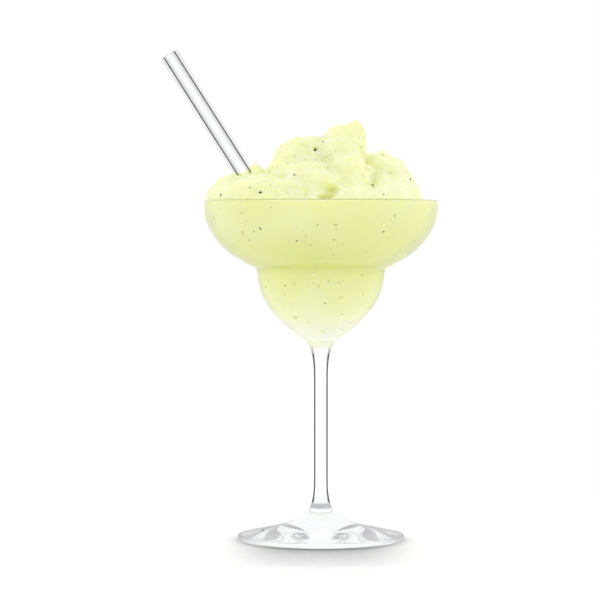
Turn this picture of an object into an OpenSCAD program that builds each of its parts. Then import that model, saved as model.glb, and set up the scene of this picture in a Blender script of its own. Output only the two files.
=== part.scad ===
// A frozen margarita: a two-step stemmed glass, heaped with slush and holding a clear straw.
// Millimetres, +Z up, origin at the centre of the underside of the foot, front of the drink towards -Y.

/* [Glass] */
// Height of the glass from the table to the rim
glass_h = 168.5; // [150:0.5:204]
// Outside diameter at the widest line of the upper bowl
bowl_d = 116.2; // [96:0.2:136]
// Depth of the upper bowl, from the rim down to the step
bowl_depth = 33.6; // [28:0.1:41]
// Outside diameter of the lower cup
cup_d = 63.4; // [52:0.2:72]
// Depth of the lower cup, from the step down to the bottom of the drink
cup_depth = 31.9; // [26.4:0.1:38]
// Thickness of the glass in the upper bowl
bowl_wall = 1.3; // [1:0.1:2]
// Thickness of the glass in the lower cup
cup_wall = 1.6; // [1.2:0.1:2.4]
// Diameter of the stem
stem_d = 7; // [5.6:0.1:9]
// Length over which the cup narrows into the stem, below the drink
neck_len = 22.6; // [16:0.2:28]
// Diameter of the foot
foot_d = 82.6; // [68:0.2:100]
// Thickness of the foot at its edge
foot_edge = 2.7; // [2:0.1:3.5]
// Height above the table at which the foot has become the stem
foot_rise = 28.6; // [22:0.2:35]

/* [Drink] */
// Height of the highest peak of the slush above the rim
heap_h = 40.2; // [30:0.2:50]
// Drop from the rim to the slush where the heap leaves it uncovered
fill_drop = 0.8; // [0.6:0.1:4]
// Clearance between the slush and the glass
drink_gap = 0.2; // [0.1:0.05:0.5]

/* [Straw] */
// Outside diameter of the straw
straw_d = 9.4; // [7:0.1:11.4]
// Thickness of the straw's wall
straw_wall = 1.2; // [0.8:0.1:1.6]
// Length of the straw
straw_len = 158; // [135:1:200]
// Lean of the straw away from upright, in degrees
straw_lean = 32.3; // [24:0.1:36]
// How far left of the glass's axis the straw crosses the level of the rim
straw_left = 29.6; // [22:0.1:36]
// How far in front of the glass's axis the straw stands
straw_front = 4; // [0:0.5:8]
// Clearance between the straw and the slush round it
straw_gap = 0.2; // [0.1:0.05:0.5]
// Clearance between the straw's lower end and the cup it rests in
seat_gap = 0.3; // [0.1:0.05:0.6]

/* [Hidden] */
$fn = 96;

// Steps in one curve of a turned outline
CURVE_STEPS = 14;
// Steps in one of the four short rounds of a turned outline
ROUND_STEPS = 5;

// Driving radii and levels of the glass
bowl_r = bowl_d / 2;
cup_r = cup_d / 2;
stem_r = stem_d / 2;
foot_r = foot_d / 2;
step_z = glass_h - bowl_depth;
drink_z = step_z - cup_depth;
neck_z = drink_z - neck_len;

// Upper bowl: an ellipse, widest a little below the rim, that reaches in to the step
RIM_TUCK = 3.3;
STEP_OUT = 1.6;
bowl_z = glass_h - RIM_TUCK;
step_r = cup_r + STEP_OUT;
bowl_b = (bowl_z - step_z) / sqrt(1 - pow(step_r / bowl_r, 2));

// Lower cup: a half ellipse, widest just under the step
CUP_TUCK = 0.6;
cup_z = step_z - CUP_TUCK;
cup_in_r = cup_r - cup_wall;
cup_in_b = cup_z - drink_z;
cup_b = cup_in_b + cup_wall;

// Outer outline of the cup: where it leaves the ellipse for the neck, and how hard each end pulls
NECK_START = -40.4;
NECK_STEP = 4;
NECK_PULL = 0.675 * cup_r;
STEM_PULL = 1.085 * neck_len;

// Foot: a low cone that sweeps up into the stem
EDGE_ROUND = 1;
EDGE_STEPS = 8;
FOOT_SLOPE = 12.7;
foot_pull = 0.7 * foot_r;
stem_foot_pull = 0.71 * foot_rise;

// How far past the step the outer fillet and the inner round reach on the bowl and on the cup
FILLET_OUT = 1.3;
ROUND_IN = 3.2;
CUP_ROUND = -4;
CORNER_DROP = 0.2;
BOWL_STEP = 1;
// Shortest step that the hollow's outline takes, across and up, after its round
LEAST_STEP = [0.01, 0.5];

// Straw: inner radius and the direction it points, from its lower end to its top
bore_r = straw_d / 2 - straw_wall;
straw_dir = [-sin(straw_lean), 0, cos(straw_lean)];
straw_side = [cos(straw_lean), 0, sin(straw_lean)];
straw_at_rim = [-straw_left, -straw_front, glass_h];
STRAW_END_ROUND = 0.45;
// Where the search for the straw's seat starts, below the step, how finely it ends and the turn between points
SEAT_BELOW_STEP = 12;
SEAT_FINE = 0.01;
SEAT_TURN = 15;

// How far a cut runs past what it cuts
CUT_PAST = 1;

// Heap of slush: rings of points round the axis, seen from a centre below the rim
AROUND = 96;
HEAP_RINGS = 26;
FILL_RINGS = 8;
HEAP_EYE = 18.5;
BLEND = 3.6;
// How the skin of the heap is found from outside: start, share of the depth stepped, least step and end
FARTHEST = 80;
STEP_SHARE = 0.8;
LEAST_REACH = 0.15;
NEAR_ENOUGH = 0.02;
// How far the heap keeps in from the glass beyond its clearance
HEAP_IN = 0.2;
// Size of the heap that LOBES is drawn for, and the scale from it to this heap
DRAWN_H = 40.2;
DRAWN_R = 56.6;
mouth_r = bowl_r - bowl_wall - drink_gap - HEAP_IN;
fill_z = glass_h - fill_drop;
heap_scale = [mouth_r / DRAWN_R, mouth_r / DRAWN_R, heap_h / DRAWN_H];
// Each lobe of slush is an ellipsoid: its centre, measured from the middle of the rim, and its half sizes
LOBES = [
    [[-4, 0, -10], [50, 52, 23]],          // broad base of the heap
    [[-41, -2, -3.5], [17.5, 31, 15]],     // low shoulder on the left, where the straw goes in
    [[-37, -8, 2], [17, 22, 11]],          // its rounded top
    [[-31.8, -3, 13.2], [3.4, 4.5, 4.2]],  // small knob beside the straw
    [[-8, 3, 12.5], [15.5, 20, 19.3]],     // left-hand scoop
    [[-15, -4, 10], [10.5, 16, 17.5]],     // its left side
    [[8.6, 1, 20.5], [10.8, 17, 15.4]],    // tall scoop in the middle
    [[17.8, -1, 31], [4.6, 6.5, 9.2]],     // its peak
    [[14, -14, 6], [11.5, 19, 17]],        // scoop in front, below the peak
    [[-8, -16, 6], [17, 17, 13]],          // pale scoop in front, left of it
    [[-2.5, -26, 9], [9, 12, 7.5]],        // its lip
    [[-20, -26, 1], [20, 19, 12]],         // low slope on the front left
    [[31, 2, 11], [9.5, 18, 13.6]],        // right-hand scoop
    [[33, -3, -1], [16.2, 27, 15.5]],      // its spread down to the rim
    [[-30, -33, -3], [22, 20, 12.5]],      // low front left
    [[20, -38, -6], [27, 17, 12.5]],       // low front right
    [[-22, 30, 1], [25, 23, 15.5]],        // back left
    [[16, 28, 3], [26, 23, 16]],           // back right
];

function ellipse_arc(a, b, z, from, to, n) =
    [for (i = [0:n]) let (t = from + (to - from) * i / n) [a * cos(t), z + b * sin(t)]];

function curve(p, n) =
    [for (i = [0:n]) let (t = i / n, s = 1 - t)
        s * s * s * p[0] + 3 * s * s * t * p[1] + 3 * s * t * t * p[2] + t * t * t * p[3]];

function round_off(from, corner, to, n) =
    [for (i = [0:n]) let (t = i / n, s = 1 - t) s * s * from + 2 * s * t * corner + t * t * to];

function bowl_point(a, b, r) = [r, bowl_z - b * sqrt(1 - pow(r / a, 2))];

function cup_point(a, b, angle) = [a * cos(angle), cup_z + b * sin(angle)];

// Outline of the hollow, drawn in by g, from the drink's lowest point up to height top
function hollow_outline(g, top, n) =
    let (
        a = bowl_r - bowl_wall - g,
        b = bowl_b - bowl_wall - g,
        ca = cup_in_r - g,
        cb = cup_in_b - g,
        shoulder = bowl_point(a, b, ca + ROUND_IN),
        low = cup_point(ca, cb, CUP_ROUND),
        a0 = asin((shoulder[1] - bowl_z) / b),
        a1 = asin((top - bowl_z) / b),
        rounds = max(2, round(n / 3))
    )
    concat(
        ellipse_arc(ca, cb, cup_z, -90, CUP_ROUND, n),
        round_off(low, bowl_point(a, b, ca), shoulder, rounds),
        [for (p = ellipse_arc(a, b, bowl_z, a0, a1, n))
            if (p[0] > shoulder[0] + LEAST_STEP[0] || p[1] > shoulder[1] + LEAST_STEP[1]) p]
    );

// Outline of the glass from the foot up to the lip, outside
function outer_outline() =
    let (
        edge = [foot_r - EDGE_ROUND, foot_edge],
        neck = cup_point(cup_r, cup_b, NECK_START),
        along = [-cup_r * sin(-NECK_START), -cup_b * cos(NECK_START)],
        low = cup_point(cup_r, cup_b, CUP_ROUND),
        shoulder = bowl_point(bowl_r, bowl_b, step_r + FILLET_OUT),
        lip_angle = asin((glass_h - bowl_wall / 2 - bowl_z) / bowl_b),
        bowl_angle = asin((shoulder[1] - bowl_z) / bowl_b) + BOWL_STEP
    )
    concat(
        [[0, 0]],
        ellipse_arc(EDGE_ROUND, foot_edge / 2, foot_edge / 2, -90, 90, EDGE_STEPS)
            + [for (i = [0:EDGE_STEPS]) [foot_r - EDGE_ROUND, 0]],
        curve([
            edge,
            edge + foot_pull * [-1, tan(FOOT_SLOPE)],
            [stem_r, foot_rise - stem_foot_pull],
            [stem_r, foot_rise]
        ], 2 * CURVE_STEPS),
        curve([
            [stem_r, neck_z],
            [stem_r, neck_z + STEM_PULL],
            neck + NECK_PULL * along / norm(along),
            neck
        ], 2 * CURVE_STEPS),
        ellipse_arc(cup_r, cup_b, cup_z, NECK_START + NECK_STEP, CUP_ROUND, CURVE_STEPS),
        round_off(low, [cup_r, step_z - CORNER_DROP], shoulder, ROUND_STEPS),
        ellipse_arc(bowl_r, bowl_b, bowl_z, bowl_angle, lip_angle, 2 * CURVE_STEPS)
    );

// Rounded lip, from the outside over to the inside
function lip_outline(outer, inner) =
    let (
        middle = (outer + inner) / 2,
        half = (outer - inner) / 2
    )
    [for (i = [1:2 * ROUND_STEPS - 1]) let (t = 180 * i / (2 * ROUND_STEPS))
        [middle + half * cos(t), glass_h - bowl_wall / 2 * (1 - sin(t))]];

module glass() {
    outer = outer_outline();
    inner = hollow_outline(0, glass_h - bowl_wall / 2, 2 * CURVE_STEPS);
    lip = lip_outline(outer[len(outer) - 1][0], inner[len(inner) - 1][0]);
    down = [for (i = [len(inner) - 1:-1:0]) inner[i]];
    color([0.86, 0.9, 0.92, 0.35])
        rotate_extrude()
            polygon(concat(outer, lip, down));
}

// Signed depth of a point against one lobe, and against the whole heap: below zero inside
function lobe_depth(p, lobe) =
    let (q = p - lobe[0])
    (norm([q[0] / lobe[1][0], q[1] / lobe[1][1], q[2] / lobe[1][2]]) - 1) * min(lobe[1]);

function blended(a, b) = min(a, b) - pow(max(BLEND - abs(a - b), 0), 2) / (4 * BLEND);

function heap_depth(p, i = 0, best = 1000) =
    i == len(LOBES) ? best : heap_depth(p, i + 1, blended(best, lobe_depth(p, LOBES[i])));

// Distance from the heap's centre to its outermost surface along a direction
function heap_reach(dir, t = FARTHEST) =
    let (d = heap_depth(t * dir - [0, 0, HEAP_EYE]))
    t < HEAP_EYE ? HEAP_EYE :
    d < NEAR_ENOUGH ? t :
    heap_reach(dir, t - max(STEP_SHARE * d, LEAST_REACH));

// One point of the heap's skin, kept inside the mouth of the glass and above the fill
function heap_point(around, down) =
    let (
        dir = [sin(down) * cos(around), sin(down) * sin(around), cos(down)],
        p = heap_reach(dir) * dir - [0, 0, HEAP_EYE],
        q = [p[0] * heap_scale[0], p[1] * heap_scale[1], glass_h + p[2] * heap_scale[2]],
        eye_z = glass_h - HEAP_EYE * heap_scale[2],
        flat = (fill_z - eye_z) / (q[2] - eye_z),
        lifted = flat > 1 ? [q[0] * flat, q[1] * flat, fill_z] : q,
        reach = norm([lifted[0], lifted[1]]),
        in = min(1, mouth_r / max(reach, 0.001))
    )
    [lifted[0] * in, lifted[1] * in, lifted[2]];

// The drink's skin as rings: up the hollow of the glass, then over the heap
module slush() {
    hollow = hollow_outline(drink_gap, fill_z, FILL_RINGS);
    wall_ring = hollow[len(hollow) - 1];
    eye_z = glass_h - HEAP_EYE * heap_scale[2];
    widest = atan2(wall_ring[0] / heap_scale[0], (fill_z - eye_z) / heap_scale[2]);
    fill = [for (i = [1:len(hollow) - 1]) for (j = [0:AROUND - 1])
        let (t = 360 * j / AROUND) [hollow[i][0] * cos(t), hollow[i][0] * sin(t), hollow[i][1]]];
    heap = [for (i = [1:HEAP_RINGS - 1]) for (j = [0:AROUND - 1])
        heap_point(360 * j / AROUND, widest * (1 - i / HEAP_RINGS))];
    points = concat([[0, 0, hollow[0][1]]], fill, heap, [heap_point(0, 0)]);
    rings = len(hollow) - 1 + HEAP_RINGS - 1;
    last = len(points) - 1;
    high = last - AROUND;
    faces = concat(
        [for (j = [0:AROUND - 1]) [0, 1 + j, 1 + (j + 1) % AROUND]],
        [for (i = [0:rings - 2]) for (j = [0:AROUND - 1]) for (half = [0, 1])
            let (
                a = 1 + i * AROUND + j,
                b = 1 + i * AROUND + (j + 1) % AROUND
            )
            half == 0 ? [a, a + AROUND, b] : [b, a + AROUND, b + AROUND]],
        [for (j = [0:AROUND - 1]) [last, high + (j + 1) % AROUND, high + j]]
    );
    polyhedron(points, faces);
}

// True where the straw's lower end, slid down by s along its own length, still clears the cup
function straw_clears(s) =
    let (
        end = straw_at_rim - s * straw_dir,
        a = cup_in_r - seat_gap,
        b = cup_in_b - seat_gap
    )
    max([for (t = [0:SEAT_TURN:359])
        let (p = end + straw_d / 2 * (cos(t) * straw_side + sin(t) * [0, 1, 0]))
        norm([p[0] / a, p[1] / a, (p[2] - cup_z) / b])]) < 1;

// How far the straw slides down before it meets the cup
function straw_depth(low, high) =
    high - low < SEAT_FINE ? low :
    let (mid = (low + high) / 2)
    straw_clears(mid) ? straw_depth(mid, high) : straw_depth(low, mid);

seat_from = (bowl_depth + SEAT_BELOW_STEP) / cos(straw_lean);
seat_to = (bowl_depth + cup_depth) / cos(straw_lean);
straw_foot = straw_at_rim - straw_depth(seat_from, seat_to) * straw_dir;

module along_straw() {
    translate(straw_foot)
        rotate([0, -straw_lean, 0])
            children();
}

// Half of the straw's wall, with both ends polished round
function straw_outline() =
    let (
        c = [
            [bore_r + STRAW_END_ROUND, STRAW_END_ROUND, 180],
            [straw_d / 2 - STRAW_END_ROUND, STRAW_END_ROUND, 270],
            [straw_d / 2 - STRAW_END_ROUND, straw_len - STRAW_END_ROUND, 0],
            [bore_r + STRAW_END_ROUND, straw_len - STRAW_END_ROUND, 90]
        ]
    )
    [for (corner = c) for (i = [0:ROUND_STEPS]) let (t = corner[2] + 90 * i / ROUND_STEPS)
        [corner[0] + STRAW_END_ROUND * cos(t), corner[1] + STRAW_END_ROUND * sin(t)]];

module straw() {
    color([0.9, 0.93, 0.95, 0.35])
        along_straw()
            rotate_extrude()
                polygon(straw_outline());
}

// Room for the straw's wall in the slush, open at the top
module straw_room() {
    along_straw()
        translate([0, 0, -straw_gap])
            difference() {
                cylinder(r = straw_d / 2 + straw_gap, h = straw_len);
                translate([0, 0, -CUT_PAST])
                    cylinder(r = bore_r - straw_gap, h = straw_len + 2 * CUT_PAST);
            }
}

module drink() {
    color([0.95, 0.96, 0.72])
        difference() {
            slush();
            straw_room();
        }
}

glass();
drink();
straw();
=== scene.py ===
"""A frozen margarita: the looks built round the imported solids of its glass, slush and straw.

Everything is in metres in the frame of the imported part: +Z up, the origin at the middle of the foot's
underside, the front of the drink towards -Y. Lengths written with MM are millimetres.
"""

import logging
import math
from dataclasses import dataclass, field
from enum import Enum
from typing import Sequence

import bpy
import numpy as np
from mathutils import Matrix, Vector


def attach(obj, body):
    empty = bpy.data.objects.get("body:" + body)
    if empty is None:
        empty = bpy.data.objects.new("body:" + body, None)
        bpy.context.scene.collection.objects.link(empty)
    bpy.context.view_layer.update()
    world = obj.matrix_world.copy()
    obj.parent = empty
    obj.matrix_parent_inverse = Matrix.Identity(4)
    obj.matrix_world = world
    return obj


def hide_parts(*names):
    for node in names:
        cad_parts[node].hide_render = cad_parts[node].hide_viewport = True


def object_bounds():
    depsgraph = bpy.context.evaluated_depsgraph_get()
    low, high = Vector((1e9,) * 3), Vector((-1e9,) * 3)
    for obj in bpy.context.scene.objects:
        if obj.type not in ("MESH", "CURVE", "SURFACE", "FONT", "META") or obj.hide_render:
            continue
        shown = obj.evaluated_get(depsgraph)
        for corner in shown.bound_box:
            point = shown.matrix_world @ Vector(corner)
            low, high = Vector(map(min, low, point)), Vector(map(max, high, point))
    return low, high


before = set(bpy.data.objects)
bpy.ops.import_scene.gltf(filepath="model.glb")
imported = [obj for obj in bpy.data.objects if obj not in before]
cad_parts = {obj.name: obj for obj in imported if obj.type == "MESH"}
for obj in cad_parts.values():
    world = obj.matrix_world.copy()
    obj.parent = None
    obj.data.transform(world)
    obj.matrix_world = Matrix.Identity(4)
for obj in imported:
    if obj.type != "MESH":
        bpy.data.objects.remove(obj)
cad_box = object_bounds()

log = logging.getLogger("margarita")
MM = 0.001
WHITE = (1.0, 1.0, 1.0, 1.0)
BLACK = (0.0, 0.0, 0.0, 1.0)
BODY = "root"
# The step that points of a CAD outline are rounded to, so that those of one ring fall together
SAME_POINT = 0.01 * MM
# How much more blue than red or green the greys of the light have
COOLNESS = 1.01
# Blender's numbers for the sockets of a colour mix: its factor, its two colours and what comes out
MIX_FACTOR, MIX_FIRST, MIX_SECOND, MIX_RESULT = 0, 6, 7, 2

Colour = tuple[float, float, float, float]
Socket = bpy.types.NodeSocket
Steps = Sequence[tuple[float, float]]


# ---------------------------------------------------------------- meshes


def mesh_object(name: str, points: np.ndarray, faces: Sequence[Sequence[int]]) -> bpy.types.Object:
    """Makes a smooth-shaded mesh object and links it to the scene.

    Args:
        name: the piece's name.
        points: one row of x, y, z for each corner, in metres.
        faces: the corners of each face, by index.

    Returns:
        The new object.
    """
    mesh = bpy.data.meshes.new(name)
    mesh.from_pydata([tuple(p) for p in points], [], [tuple(f) for f in faces])
    mesh.validate()
    mesh.polygons.foreach_set("use_smooth", [True] * len(mesh.polygons))
    mesh.update()
    piece = bpy.data.objects.new(name, mesh)
    bpy.context.collection.objects.link(piece)
    return piece


def ring_faces(start: int, rings: int, around: int, closed: bool = False) -> list[tuple[int, ...]]:
    """Quads between rings of points that follow each other.

    Args:
        start: index of the first ring's first point.
        rings: how many rings there are.
        around: points in each ring.
        closed: True to join the last ring to the first.

    Returns:
        The quads, facing outwards where the rings run upwards and anticlockwise.
    """
    faces = []
    for i in range(rings if closed else rings - 1):
        low = start + i * around
        high = start + ((i + 1) % rings) * around
        for j in range(around):
            k = (j + 1) % around
            faces.append((low + j, low + k, high + k, high + j))
    return faces


def spun(outline: np.ndarray, around: int) -> np.ndarray:
    """Rings of points made by turning an outline about the Z axis.

    Args:
        outline: rows of radius and height.
        around: points in each ring.

    Returns:
        The points, ring after ring.
    """
    turn = np.linspace(0.0, 2.0 * math.pi, around, endpoint=False)
    radius = outline[:, 0][:, None]
    height = np.repeat(outline[:, 1][:, None], around, axis=1)
    return np.stack([radius * np.cos(turn), radius * np.sin(turn), height], axis=2).reshape(-1, 3)


def turned(name: str, outline: np.ndarray, around: int) -> bpy.types.Object:
    """A solid turned from an outline that starts and ends on the axis.

    Args:
        name: the piece's name.
        outline: rows of radius and height, from the lowest point round the outside to the last point.
        around: points in each ring.

    Returns:
        The closed piece.
    """
    inner = outline[1:-1]
    points = np.vstack([[[0.0, 0.0, outline[0, 1]]], spun(inner, around), [[0.0, 0.0, outline[-1, 1]]]])
    faces = ring_faces(1, len(inner), around)
    last = len(points) - 1
    top = last - around
    for j in range(around):
        k = (j + 1) % around
        faces.append((0, 1 + k, 1 + j))
        faces.append((last, top + j, top + k))
    return mesh_object(name, points, faces)


def cad_outline(node: str) -> np.ndarray:
    """The outline of a turned CAD node, as rows of radius and height, walked along its rings.

    Args:
        node: name of a CAD node whose axis is Z.

    Returns:
        The outline from the lowest point on the axis to the other end.
    """
    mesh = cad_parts[node].data
    count = len(mesh.vertices)
    xyz = np.empty(count * 3)
    mesh.vertices.foreach_get("co", xyz)
    xyz = xyz.reshape(-1, 3)
    pairs = np.stack([np.hypot(xyz[:, 0], xyz[:, 1]), xyz[:, 2]], axis=1)
    grid = np.round(pairs / SAME_POINT).astype(int)
    keys, first, which = np.unique(grid, axis=0, return_index=True, return_inverse=True)
    which = which.reshape(-1)
    edges = np.empty(len(mesh.edges) * 2, dtype=int)
    mesh.edges.foreach_get("vertices", edges)
    links: dict[int, set[int]] = {i: set() for i in range(len(keys))}
    for a, b in which[edges.reshape(-1, 2)]:
        if a != b:
            links[a].add(b)
            links[b].add(a)
    on_axis = [i for i in range(len(keys)) if keys[i][0] == 0]
    here = max(on_axis, key=lambda i: keys[i][1])
    walk = [here]
    seen = {here}
    while True:
        ahead = [i for i in links[here] if i not in seen]
        if not ahead:
            break
        here = min(ahead, key=lambda i: np.abs(keys[i] - keys[walk[-1]]).sum())
        seen.add(here)
        walk.append(here)
    outline = pairs[first[walk]]
    if outline[-1, 0] > 0.0:
        outline = np.vstack([outline, [0.0, outline[-1, 1]]])
    return outline[::-1]


# ---------------------------------------------------------------- noise


class Lumps:
    """Smooth seeded noise over points in space, for uneven ice."""

    SIDE = 32
    LAYER_SHIFT = 7.3

    def __init__(self, seed: int) -> None:
        """Draws the table of values that the noise blends between."""
        self.table = np.random.default_rng(seed).uniform(-1.0, 1.0, self.SIDE**3)

    def at(self, points: np.ndarray, size: float) -> np.ndarray:
        """Noise at points, with lumps about size across.

        Args:
            points: rows of x, y, z.
            size: width of one lump, in the unit of the points.

        Returns:
            One value from -1 to 1 for each point.
        """
        cell = points / size
        base = np.floor(cell).astype(int)
        part = cell - base
        part = part * part * (3.0 - 2.0 * part)
        total = np.zeros(len(points))
        for corner in range(8):
            step = np.array([corner & 1, (corner >> 1) & 1, corner >> 2])
            spot = (base + step) % self.SIDE
            index = (spot[:, 0] * self.SIDE + spot[:, 1]) * self.SIDE + spot[:, 2]
            weight = np.prod(np.where(step == 1, part, 1.0 - part), axis=1)
            total += weight * self.table[index]
        return total

    def layered(self, points: np.ndarray, size: float, layers: int) -> np.ndarray:
        """Noise in layers, each half as wide and half as strong as the one before.

        Args:
            points: rows of x, y, z.
            size: width of one lump of the first layer, in the unit of the points.
            layers: how many layers there are.

        Returns:
            One value for each point.
        """
        total = np.zeros(len(points))
        for layer in range(layers):
            shrink = 0.5**layer
            total += shrink * self.at(points + self.LAYER_SHIFT * layer * size, size * shrink)
        return total


def grey(level: float) -> Colour:
    """A faintly cool grey of one brightness."""
    return (level, level, min(level * COOLNESS, max(level, 1.0)), 1.0)


def even_grey(level: float) -> Colour:
    """A grey with no tint."""
    return (level, level, level, 1.0)


def grey_stops(steps: Steps) -> list[tuple[float, Colour]]:
    """Ramp stops of grey from pairs of place and brightness."""
    return [(place, grey(level)) for place, level in steps]


# ---------------------------------------------------------------- shader building


class Nodes:
    """A small helper for writing node trees."""

    def __init__(self, tree: bpy.types.NodeTree) -> None:
        """Holds the tree that nodes are added to."""
        self.tree = tree

    def feed(self, node: bpy.types.Node, values: dict) -> None:
        """Sets or links the inputs of a node.

        Args:
            node: the node that is fed.
            values: input name or index to a value, or to a socket to link from.
        """
        for key, value in values.items():
            if isinstance(value, Socket):
                self.tree.links.new(value, node.inputs[key])
            else:
                node.inputs[key].default_value = value

    def add(self, kind: str, values: dict | None = None, **settings: object) -> bpy.types.Node:
        """Adds a node and sets its inputs and settings.

        Args:
            kind: Blender's name for the node type.
            values: input name or index to a value, or to a socket to link from.
            settings: attributes of the node.

        Returns:
            The new node.
        """
        node = self.tree.nodes.new(kind)
        for key, value in settings.items():
            setattr(node, key, value)
        self.feed(node, values or {})
        return node

    def ramp(self, factor: Socket, stops: Sequence[tuple[float, Colour]]) -> Socket:
        """A colour ramp over a factor.

        Args:
            factor: what the ramp runs over, from 0 to 1.
            stops: position and colour of each stop, in order.

        Returns:
            The colour.
        """
        node = self.add("ShaderNodeValToRGB", {"Fac": factor})
        band = node.color_ramp
        while len(band.elements) < len(stops):
            band.elements.new(0.5)
        for element, (place, colour) in zip(band.elements, stops):
            element.position = place
            element.color = colour
        return node.outputs["Color"]

    def mix(self, factor: Socket, first: Socket | Colour, second: Socket | Colour) -> Socket:
        """Two colours mixed: the first where the factor is 0, the second where it is 1."""
        values = {MIX_FACTOR: factor, MIX_FIRST: first, MIX_SECOND: second}
        return self.add("ShaderNodeMix", values, data_type="RGBA").outputs[MIX_RESULT]

    def between(self, value: Socket, ends: tuple[float, float]) -> Socket:
        """How far a value has gone from the first end to the second, from 0 to 1."""
        node = self.add("ShaderNodeMapRange", {"Value": value, "From Min": ends[0], "From Max": ends[1]})
        return node.outputs["Result"]

    def math(
        self, operation: str, first: Socket | float, second: Socket | float = 0.0, clamp: bool = False
    ) -> Socket:
        """One arithmetic step, held between 0 and 1 where clamp is true."""
        node = self.add("ShaderNodeMath", {0: first, 1: second}, operation=operation, use_clamp=clamp)
        return node.outputs[0]

    def band(self, height: Socket, ends: tuple[float, float, float, float]) -> Socket:
        """A mask for a band of heights.

        Args:
            height: height above the table.
            ends: where the band starts, is full, is full for the last time and ends.

        Returns:
            1 in the full part of the band, falling to 0 at its two ends.
        """
        low, full, still_full, high = ends
        rising = self.between(height, (low, full))
        return self.math("MULTIPLY", rising, self.between(height, (high, still_full)))


def new_group(
    name: str, inputs: Sequence[tuple[str, str, object]], outputs: Sequence[tuple[str, str]]
) -> tuple[bpy.types.NodeTree, Nodes, bpy.types.Node, bpy.types.Node]:
    """Starts a shader node group.

    Args:
        name: the group's name.
        inputs: name, socket type and default of each input.
        outputs: name and socket type of each output.

    Returns:
        The tree, a Nodes helper for it, its input node and its output node.
    """
    tree = bpy.data.node_groups.new(name, "ShaderNodeTree")
    for label, kind, default in inputs:
        tree.interface.new_socket(label, in_out="INPUT", socket_type=kind).default_value = default
    for label, kind in outputs:
        tree.interface.new_socket(label, in_out="OUTPUT", socket_type=kind)
    nodes = Nodes(tree)
    return tree, nodes, nodes.add("NodeGroupInput"), nodes.add("NodeGroupOutput")


class Effects:
    """Node groups that more than one material uses, each built once."""

    NOISE_DETAIL = 3.0
    GRIT_SHARE = 0.4
    MASK_SHARE = 0.7
    _made: dict[str, bpy.types.NodeTree] = {}

    @classmethod
    def mottle(cls) -> bpy.types.NodeTree:
        """Two colours in soft patches.

        Returns:
            The group: a mask from layered noise, and the colour that it mixes.
        """
        if "mottle" not in cls._made:
            tree, nodes, given, out = new_group(
                "Soft mottle",
                [
                    ("Scale", "NodeSocketFloat", 60.0),
                    ("Detail", "NodeSocketFloat", cls.NOISE_DETAIL),
                    ("Contrast", "NodeSocketFloat", 2.0),
                    ("First", "NodeSocketColor", WHITE),
                    ("Second", "NodeSocketColor", BLACK),
                ],
                [("Mask", "NodeSocketFloat"), ("Color", "NodeSocketColor")],
            )
            place = nodes.add("ShaderNodeTexCoord").outputs["Object"]
            noise = nodes.add(
                "ShaderNodeTexNoise",
                {"Vector": place, "Scale": given.outputs["Scale"], "Detail": given.outputs["Detail"]},
            )
            centred = nodes.math("SUBTRACT", noise.outputs["Fac"], 0.5)
            spread = nodes.math("MULTIPLY", centred, given.outputs["Contrast"])
            mask = nodes.math("ADD", spread, 0.5, clamp=True)
            colour = nodes.mix(mask, given.outputs["First"], given.outputs["Second"])
            nodes.feed(out, {"Mask": mask, "Color": colour})
            cls._made["mottle"] = tree
        return cls._made["mottle"]

    @classmethod
    def grain(cls) -> bpy.types.NodeTree:
        """Fine bumps.

        Returns:
            The group: the height of two sizes of grain, and a mask of where they stand up.
        """
        if "grain" not in cls._made:
            tree, nodes, given, out = new_group(
                "Fine grain",
                [("Scale", "NodeSocketFloat", 900.0), ("Coarse", "NodeSocketFloat", 0.3)],
                [("Height", "NodeSocketFloat"), ("Mask", "NodeSocketFloat")],
            )
            place = nodes.add("ShaderNodeTexCoord").outputs["Object"]
            fine = given.outputs["Scale"]
            cells = nodes.add(
                "ShaderNodeTexVoronoi", {"Vector": place, "Scale": fine}, feature="SMOOTH_F1"
            )
            broad = nodes.math("MULTIPLY", fine, given.outputs["Coarse"])
            noise = nodes.add(
                "ShaderNodeTexNoise", {"Vector": place, "Scale": broad, "Detail": cls.NOISE_DETAIL}
            )
            grit = nodes.math("SUBTRACT", 1.0, cells.outputs["Distance"])
            height = nodes.math("ADD", nodes.math("MULTIPLY", grit, cls.GRIT_SHARE), noise.outputs["Fac"])
            mask = nodes.math("MULTIPLY", height, cls.MASK_SHARE, clamp=True)
            nodes.feed(out, {"Height": height, "Mask": mask})
            cls._made["grain"] = tree
        return cls._made["grain"]


@dataclass(frozen=True)
class Mottle:
    """One material's own soft patches."""

    scale: float
    detail: float
    contrast: float

    def place(self, nodes: Nodes, first: Colour = WHITE, second: Colour = BLACK) -> bpy.types.Node:
        """Places the patches in a material.

        Args:
            nodes: the material's nodes.
            first: the colour where the mask is 0.
            second: the colour where the mask is 1.

        Returns:
            The placed group.
        """
        values = {"Scale": self.scale, "Detail": self.detail, "Contrast": self.contrast}
        values |= {"First": first, "Second": second}
        return nodes.add("ShaderNodeGroup", values, node_tree=Effects.mottle())


@dataclass(frozen=True)
class Grain:
    """One material's own fine bumps, and how deep they are."""

    scale: float
    coarse: float
    depth: float

    def place(self, nodes: Nodes, strength: Socket | float) -> tuple[Socket, Socket]:
        """Places the bumps in a material.

        Args:
            nodes: the material's nodes.
            strength: how much the bumps show, from 0 to 1.

        Returns:
            The bumped normal, and a mask of where the bumps stand up.
        """
        values = {"Scale": self.scale, "Coarse": self.coarse}
        grain = nodes.add("ShaderNodeGroup", values, node_tree=Effects.grain()).outputs
        values = {"Strength": strength, "Distance": self.depth, "Height": grain["Height"]}
        return nodes.add("ShaderNodeBump", values).outputs["Normal"], grain["Mask"]


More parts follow.
